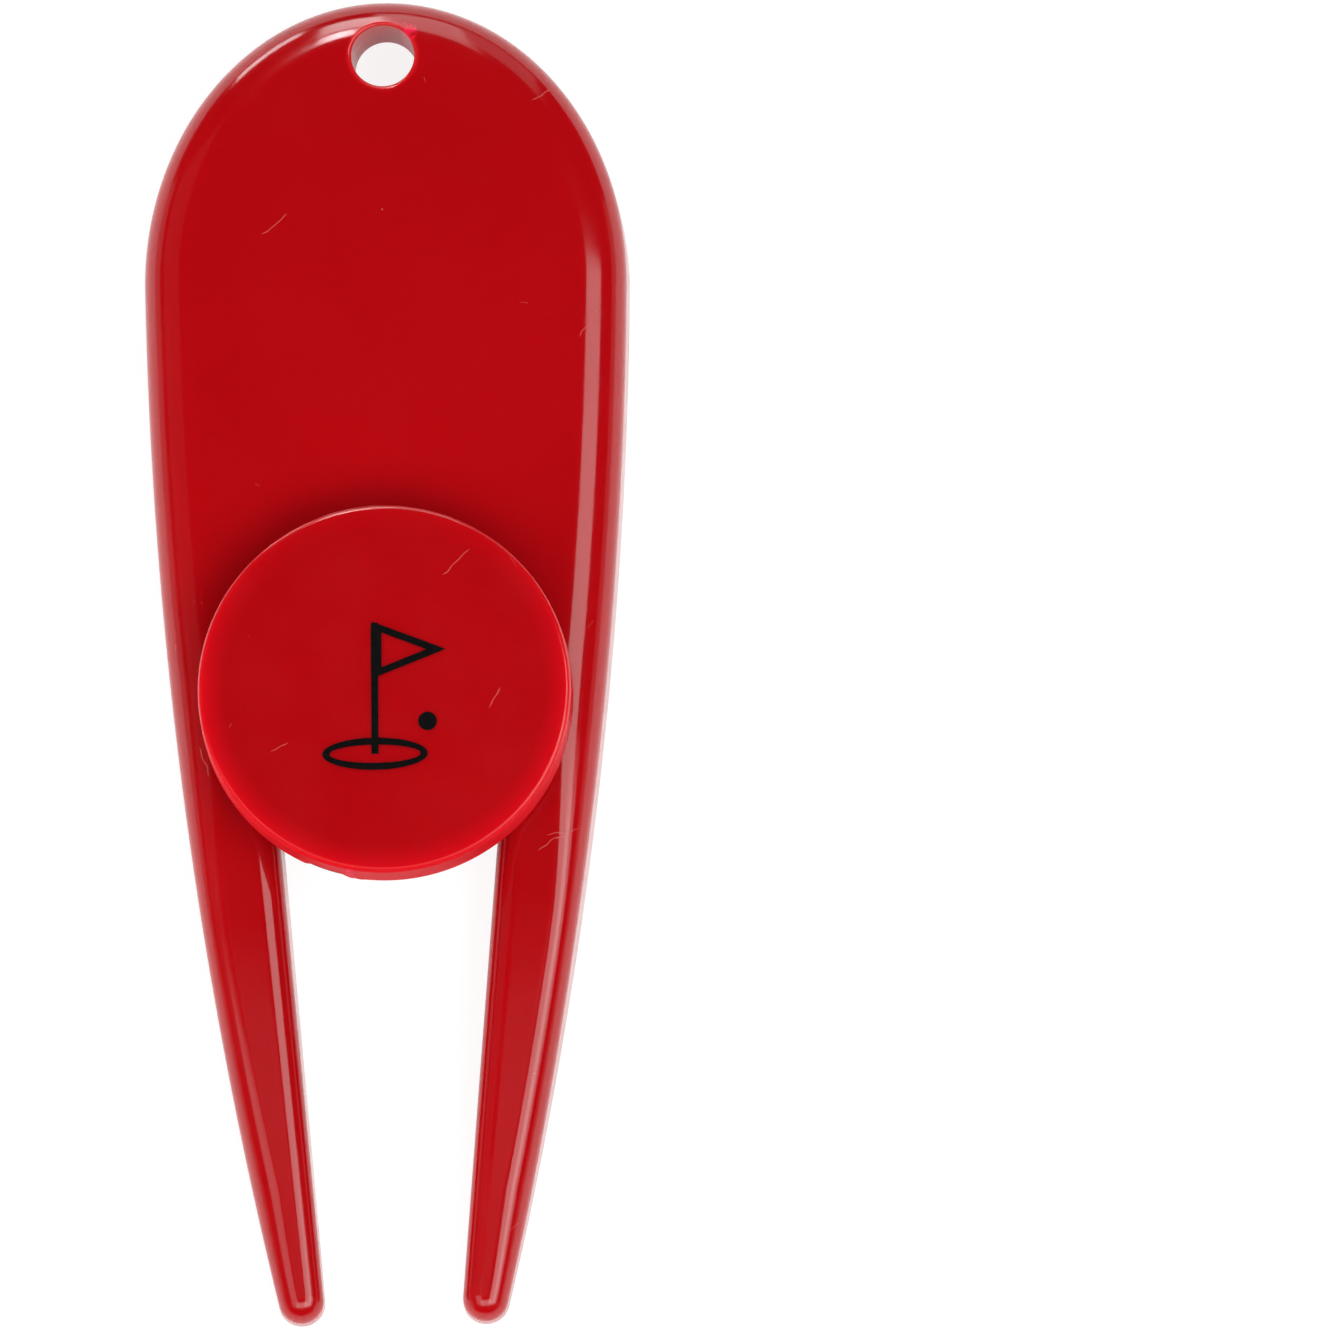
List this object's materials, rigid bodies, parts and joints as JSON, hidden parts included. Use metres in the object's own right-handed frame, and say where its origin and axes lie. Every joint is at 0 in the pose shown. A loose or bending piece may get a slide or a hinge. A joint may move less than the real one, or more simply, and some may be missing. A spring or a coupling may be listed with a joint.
{
  "type": "divot repair tool",
  "caption": "Two-pronged golf divot repair tool in moulded plastic, with a key-ring hole and a lift-off ball marker disc.",
  "frame": {"origin": "middle of the tool's outline, on its underside", "axes": "+Z out of the marker side, +Y along the tool towards the key-ring end, +X to the right seen from the marker side"},
  "size_m": [0.0314, 0.0866, 0.0095],
  "materials": {
    "body_plastic": "gloss",
    "marker_plastic": "semi-gloss",
    "print_ink": "pad-printed ink"
  },
  "bodies": {
    "fork": {"tool_body": "body_plastic"},
    "marker": {"ball_marker": "marker_plastic", "marker_print": "print_ink"}
  },
  "joints": [
    {"name": "marker_lift", "type": "slide", "parent": "fork", "child": "marker", "axis": [0, 0, 1], "range_m": [0, 0.012]}
  ]
}
